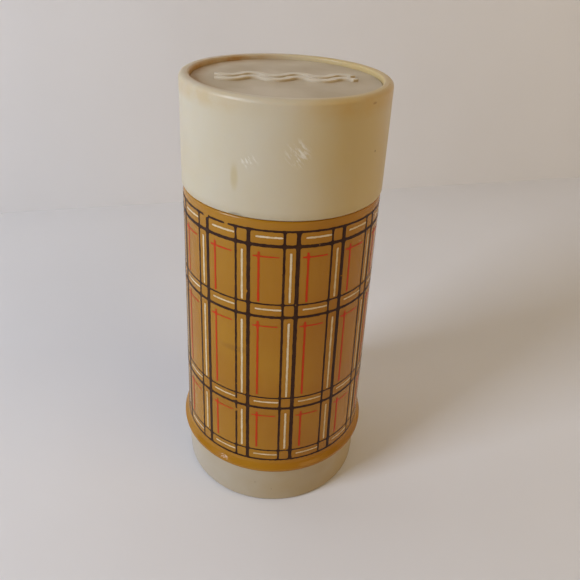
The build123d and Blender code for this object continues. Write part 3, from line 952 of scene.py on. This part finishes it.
def cut_sheet(depth: np.ndarray, columns: np.ndarray, rows: np.ndarray) -> tuple[np.ndarray, Faces]:
    """Cut out of a grid the part where depth is positive, with the cut placed between grid points.

    Args:
        depth: One row of values for each of rows, one value for each of columns.
        columns: The grid's positions along its first direction.
        rows: The grid's positions along its second direction.

    Returns:
        The points of the sheet as (column, row) pairs, and the point numbers of each face.
    """
    inside = depth > 0
    grid_x, grid_y = np.meshgrid(columns, rows)
    node = np.full(inside.shape, -1)
    node[inside] = np.arange(inside.sum())
    points = [np.column_stack([grid_x[inside], grid_y[inside]])]
    count = int(inside.sum())
    crossings = []
    for first, second in (
        ((slice(None), slice(None, -1)), (slice(None), slice(1, None))),
        ((slice(None, -1), slice(None)), (slice(1, None), slice(None))),
    ):
        cut = inside[first] != inside[second]
        share = (depth[first] / np.where(cut, depth[first] - depth[second], 1))[cut]
        x = grid_x[first][cut] + share * (grid_x[second] - grid_x[first])[cut]
        y = grid_y[first][cut] + share * (grid_y[second] - grid_y[first])[cut]
        points.append(np.column_stack([x, y]))
        number = np.full(cut.shape, -1)
        number[cut] = np.arange(count, count + int(cut.sum()))
        count += int(cut.sum())
        crossings.append(number)
    across, upward = crossings
    # Round each cell: its corners, and the crossings on the sides between them.
    low, right = (node[:-1, :-1], across[:-1, :], node[:-1, 1:]), upward[:, 1:]
    high, left = (node[1:, 1:], across[1:, :], node[1:, :-1]), upward[:, :-1]
    walk = np.stack([*low, right, *high, left], axis=-1).reshape(-1, 8)
    walk = walk[(walk >= 0).any(axis=1)]
    present = walk >= 0
    faces = []
    for pattern in np.unique(present, axis=0):
        chosen = walk[(present == pattern).all(axis=1)][:, pattern]
        faces.extend(map(tuple, chosen.tolist()))
    return np.concatenate(points), faces


@dataclass
class Casing:
    """The jacket with what stays in it: the pouring collar, the neck gasket and the foam ring."""

    wall: MouldedPlastic = MouldedPlastic(
        name="moulded_ochre_polypropylene",
        colour="#A4731D",
        aged_and_shaded_colour="#9C6818",
        patch_mm=30.0,
        roughness=0.24,
        roughness_spread=0.06,
        gloss=0.24,
        scatter=0.08,
        scatter_mm=1.2,
        speck_share=0.05,
        polished_below_mm=25.4,
        blemishes=(
            Blemish(Mark.STAIN, (-15.0, -36.5, 84.0), (10.0, 6.0, 2.2), "#7A5420", 0.35),
            Blemish(Mark.STAIN, (2.7, -38.1, 119.0), (0.7, 0.7, 0.5), "#24160E", 0.95),
        ),
    )
    collar: MouldedPlastic = MouldedPlastic(
        "moulded_ivory_collar_polypropylene", "#D5CBB2", "#BFAE86", roughness=0.35, scatter=0.15
    )
    gasket: SoftFiller = SoftFiller("moulded_grey_rubber_seal", "#4A4744", "#5E5A55", 0.6, 0.02, 0.62)
    ring: SoftFiller = SoftFiller(
        "white_polyethylene_foam_ring", "#DDD8CB", "#C9C1AE", 1.1, 0.25, 0.85, sheen=0.2
    )
    plaid: PlaidPrint = field(default_factory=PlaidPrint)

    def build(self) -> None:
        """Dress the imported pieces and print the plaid."""
        dress(self.wall, "jacket")
        dress(self.collar, "neck_collar")
        dress(self.gasket, "neck_gasket")
        dress(self.ring, "shoulder_ring")
        self.plaid.build()


@dataclass
class Cup:
    """The drinking cup: shell, liner, and the disc let into its foot."""

    shell: MouldedPlastic = MouldedPlastic(
        name="moulded_ivory_polypropylene",
        colour="#C2B79F",
        aged_and_shaded_colour="#BDA776",
        patch_mm=24.0,
        # Painted shade on the side turned from the window.
        shaded_side=(1.0, 0.1, 0.0),
        shade_range=(-0.2, 0.75),
        roughness=0.34,
        roughness_spread=0.12,
        gloss=0.36,
        scatter=0.3,
        scatter_mm=3.0,
        blemishes=(
            Blemish(Mark.SCUFF, (5.5, -37.0, 162.0), (5.4, 8.0, 6.2), "#DDD8C9", 0.8),
            Blemish(Mark.SCUFF, (-9.8, -36.4, 158.5), (4.2, 8.0, 3.2), "#DDD8C9", 0.8),
            Blemish(Mark.STAIN, (-14.6, -35.0, 152.5), (1.9, 8.0, 6.5), "#AE9556", 0.4),
            Blemish(Mark.STAIN, (-14.3, -35.3, 139.8), (4.0, 4.0, 0.9), "#7D7262", 0.6),
            Blemish(Mark.STAIN, (31.0, -21.2, 159.1), (0.5, 0.5, 0.6), "#4A3420", 0.9),
            Blemish(Mark.STAIN, (28.7, -23.7, 175.3), (1.6, 1.6, 0.6), "#6B4A24", 0.6),
        ),
        dirt_and_light_rings=(
            # Painted shade on the recess's inner wall facing away from the window, with some dirt in the
            # groove.
            DirtAndPaintedLightRing(33.7, 176.6, 2.4, "#A87A34", 0.9, (-1.0, 0.15)),
            # Painted light: an amber glow of light shining through the thin rim, on the right and the left.
            DirtAndPaintedLightRing(37.2, 175.5, 5.0, "#BC9240", 0.5, (1.0, -0.1)),
            DirtAndPaintedLightRing(37.2, 175.5, 4.0, "#B8944C", 0.4, (-1.0, -0.1)),
            DirtAndPaintedLightRing(38.1, 140.0, 2.2, "#A39270", 0.35, (-0.4, -1.0)),
        ),
    )
    liner: MouldedPlastic = MouldedPlastic(
        "moulded_ivory_liner_polypropylene", "#DAD3C0", "#C9B88F", roughness=0.34, scatter=0.25
    )
    disc: MouldedPlastic = MouldedPlastic(
        name="moulded_grey_ivory_polypropylene",
        colour="#C1B298",
        aged_and_shaded_colour="#B1A083",
        patch_mm=15.0,
        roughness=0.5,
        peel_mm=0.6,
        peel_depth_mm=0.02,
        scatter=0.1,
        speck_share=0.08,
        # Painted shade where the rim's wall shades the disc from the window, with some dirt in the groove.
        dirt_and_light_rings=(DirtAndPaintedLightRing(33.5, 176.2, 6.0, "#A0783F", 0.7, (-1.0, 0.15)),),
        # The ornament's paler tops are partly rubbed and partly a painted highlight.
        rubbed_and_highlight_above_mm=176.5,
        rubbed_and_highlight_colour="#CBBEA5",
    )

    def build(self) -> None:
        """Dress the cup's pieces."""
        dress(self.shell, "cup_shell")
        dress(self.liner, "cup_liner")
        dress(self.disc, "cup_end_disc")


@dataclass
class Stopper:
    """The screw stopper, its foam core and its gasket."""

    moulding: MouldedPlastic = MouldedPlastic(
        "moulded_cream_polyethylene", "#D8CFB9", "#C4B48C", roughness=0.34, scatter=0.2
    )
    core: SoftFiller = SoftFiller("white_polystyrene_foam_core", "#E4E1D8", "#D2CDBF", 2.2, 0.3, 0.8)
    gasket: SoftFiller = SoftFiller("moulded_black_rubber_ring", "#2C2A28", "#3B3835", 0.6, 0.02, 0.58)

    def build(self) -> None:
        """Dress the stopper's pieces."""
        dress(self.moulding, "stopper_body", "stopper_cap")
        dress(self.core, "stopper_foam")
        dress(self.gasket, "stopper_gasket")


@dataclass
class Filler:
    """The silvered glass filler, with the cradle, cushions and seal that it stands on."""

    glass: SilveredGlass = SilveredGlass("silvered_blown_borosilicate_glass")
    pads: SoftFiller = SoftFiller("pressed_mineral_fibre", "#9D917E", "#857A68", 0.4, 0.08, 0.9, sheen=0.3)
    cradle: MouldedPlastic = MouldedPlastic(
        "moulded_natural_polyethylene", "#CFCBC0", "#BCB4A0", roughness=0.45, scatter=0.25
    )
    cushion: SoftFiller = SoftFiller(
        "white_polyurethane_foam", "#D9D2BE", "#C2B48F", 1.3, 0.3, 0.88, sheen=0.25
    )
    rubber: SoftFiller = SoftFiller("moulded_dark_grey_rubber", "#3F3C39", "#524E49", 0.7, 0.03, 0.62)

    def build(self) -> None:
        """Dress the filler and everything under it."""
        dress(self.glass, "outer_glass_bottle", "inner_glass_bottle")
        dress(self.pads, "spacer_pads")
        dress(self.cradle, "filler_seat")
        dress(self.cushion, "base_cushion")
        dress(self.rubber, "tip_guard", "base_seal")


@dataclass
class Base:
    """The screw-on base."""

    skirt: MouldedPlastic = MouldedPlastic(
        name="moulded_aged_ivory_polypropylene",
        colour="#B1A48E",
        aged_and_shaded_colour="#A8926A",
        patch_mm=13.0,
        # Painted shade on the side turned from the window.
        shaded_side=(1.0, -0.2, 0.0),
        shade_range=(-0.8, 1.6),
        roughness=0.42,
        roughness_spread=0.14,
        gloss=0.36,
        scatter=0.2,
        scatter_mm=2.5,
        speck_share=0.16,
        speck_colour="#3A2A1C",
        dirt_and_light_rings=(
            DirtAndPaintedLightRing(40.9, 21.4, 1.2, "#6E4C26", 0.6),
            DirtAndPaintedLightRing(40.5, 0.0, 1.6, "#6E5636", 0.6),
        ),
    )

    def build(self) -> None:
        """Dress the base."""
        dress(self.skirt, "base_cup")


@dataclass(frozen=True)
class Lamp:
    """One soft area light.

    Attributes:
        name: Its name.
        place: Where it hangs.
        aim: The point it faces.
        size: Its width and height.
        power: Its power in watts.
        colour: Its colour.
    """

    name: str
    place: tuple[float, float, float]
    aim: tuple[float, float, float]
    size: tuple[float, float]
    power: float
    colour: str


@dataclass
class Studio:
    """A plain pale floor with two pale walls behind it, a cool window, a warm room, and the camera.

    Attributes:
        reach: Half the floor's width.
        wall_line: X and Y of the back wall's end, of the corner, and of the side wall's end.
        wall_height: The walls' height.
        room_colour: Light that comes from the whole room.
        room_bright: Its strength from the side of the walls.
        room_dim: Its strength from the side of the camera.
        room_shown: How bright the room looks where nothing stands in front of it.
        lamps: The lamps.
        board: What the floor and walls are made of.
        camera_place: Where the camera is.
        camera_aim: The point in the middle of its view.
        camera_roll: How far it is tipped over to the right, in degrees.
        lens_mm: Its focal length, behind 36 mm of sensor.
    """

    reach: float = 2.5
    wall_line: tuple[tuple[float, float], ...] = ((-1.2, -0.05), (0.36, 0.42), (1.3, -0.25))
    wall_height: float = 1.2
    room_colour: str = "#E8D8C6"
    room_bright: float = 0.19
    room_dim: float = 0.13
    room_shown: float = 0.75
    lamps: tuple[Lamp, ...] = (
        Lamp("window", (-0.95, -0.62, 0.62), (0.0, 0.0, 0.08), (0.42, 0.5), 13.9, "#E0EBFF"),
        Lamp("warm_lamp", (0.9, -0.54, 0.72), (0.0, 0.0, 0.08), (1.1, 0.8), 5.1, "#FFE0A8"),
    )
    board: PaintedBoard = PaintedBoard()
    camera_place: tuple[float, float, float] = (0.005334, -0.205256, 0.219895)
    camera_aim: tuple[float, float, float] = (0.005334, 0.0, 0.088649)
    camera_roll: float = 3.254
    lens_mm: float = 34.93

    def build(self) -> None:
        """Set up the whole studio."""
        self._surroundings()
        self._room_light()
        self._hang_lamps()
        self._camera()

    def _surroundings(self) -> None:
        """Lay the floor and stand the walls on it."""
        corners = np.array([(-1, -1, 0), (1, -1, 0), (1, 1, 0), (-1, 1, 0)]) * self.reach
        mesh_piece("floor", corners, [(0, 1, 2, 3)], self.board)
        foot = [(x, y, 0.0) for x, y in self.wall_line]
        head = [(x, y, self.wall_height) for x, y in self.wall_line]
        walls = mesh_piece("walls", np.array(foot + head), [(0, 1, 4, 3), (1, 2, 5, 4)], self.board)
        walls.data.shade_flat()

    def _room_light(self) -> None:
        """Fill the air with soft light, dimmer from the side of the room that the camera looks from."""
        world = bpy.data.worlds.new("soft_room_light")
        world.use_nodes = True
        tree = world.node_tree
        tree.nodes.clear()
        direction = add_node(tree, "TexCoord", {}, {}, "Generated")
        to_walls = {"operation": "DOT_PRODUCT", 1: Vector((0.0, 0.8, 0.6))}
        along = add_node(tree, "VectorMath", to_walls, {0: direction}, "Value")
        limits = {"From Min": -0.8, "From Max": 0.8, "To Min": self.room_dim, "To Max": self.room_bright}
        strength = add_node(tree, "MapRange", limits, {"Value": along})
        looked_at = add_node(tree, "LightPath", {}, {}, "Is Camera Ray")
        shown = add_node(tree, "Math", {"operation": "MULTIPLY", 1: self.room_shown}, {0: looked_at})
        either = add_node(tree, "Math", {"operation": "MAXIMUM"}, {0: strength, 1: shown})
        air = add_node(tree, "Background", {"Color": srgb(self.room_colour)}, {"Strength": either})
        tree.links.new(air, tree.nodes.new("ShaderNodeOutputWorld").inputs["Surface"])
        bpy.context.scene.world = world

    def _hang_lamps(self) -> None:
        """Hang the lamps, each facing its aim."""
        for lamp in self.lamps:
            light = bpy.data.lights.new(lamp.name, "AREA")
            light.shape = "RECTANGLE"
            light.size, light.size_y = lamp.size
            light.energy = lamp.power
            light.color = srgb(lamp.colour)[:3]
            hung = bpy.data.objects.new(lamp.name, light)
            hung.location = lamp.place
            towards = Vector(lamp.aim) - Vector(lamp.place)
            hung.rotation_euler = towards.to_track_quat("-Z", "Y").to_euler()
            bpy.context.scene.collection.objects.link(hung)

    def _camera(self) -> None:
        """Place the camera, turned a little about its own line of sight."""
        place, aim = Vector(self.camera_place), Vector(self.camera_aim)
        forward = (aim - place).normalized()
        right = forward.cross(Vector((0, 0, 1))).normalized()
        turn = Matrix.Rotation(-math.radians(self.camera_roll), 3, forward)
        right = turn @ right
        up = right.cross(forward)
        data = bpy.data.cameras.new("camera")
        data.lens = self.lens_mm
        data.sensor_width = 36.0
        data.clip_start = 0.01
        camera = bpy.data.objects.new("camera", data)
        axes = Matrix((right, up, -forward)).transposed()
        camera.matrix_world = Matrix.Translation(place) @ axes.to_4x4()
        bpy.context.scene.collection.objects.link(camera)
        bpy.context.scene.camera = camera


def main() -> None:
    """Build the studio and then the flask, from its casing outwards."""
    logging.basicConfig(level=logging.INFO, format="%(name)s: %(message)s")
    bpy.context.scene.view_settings.view_transform = "Standard"
    Studio().build()
    for assembly in (Casing(), Cup(), Stopper(), Filler(), Base()):
        assembly.build()


if __name__ == "__main__":
    main()
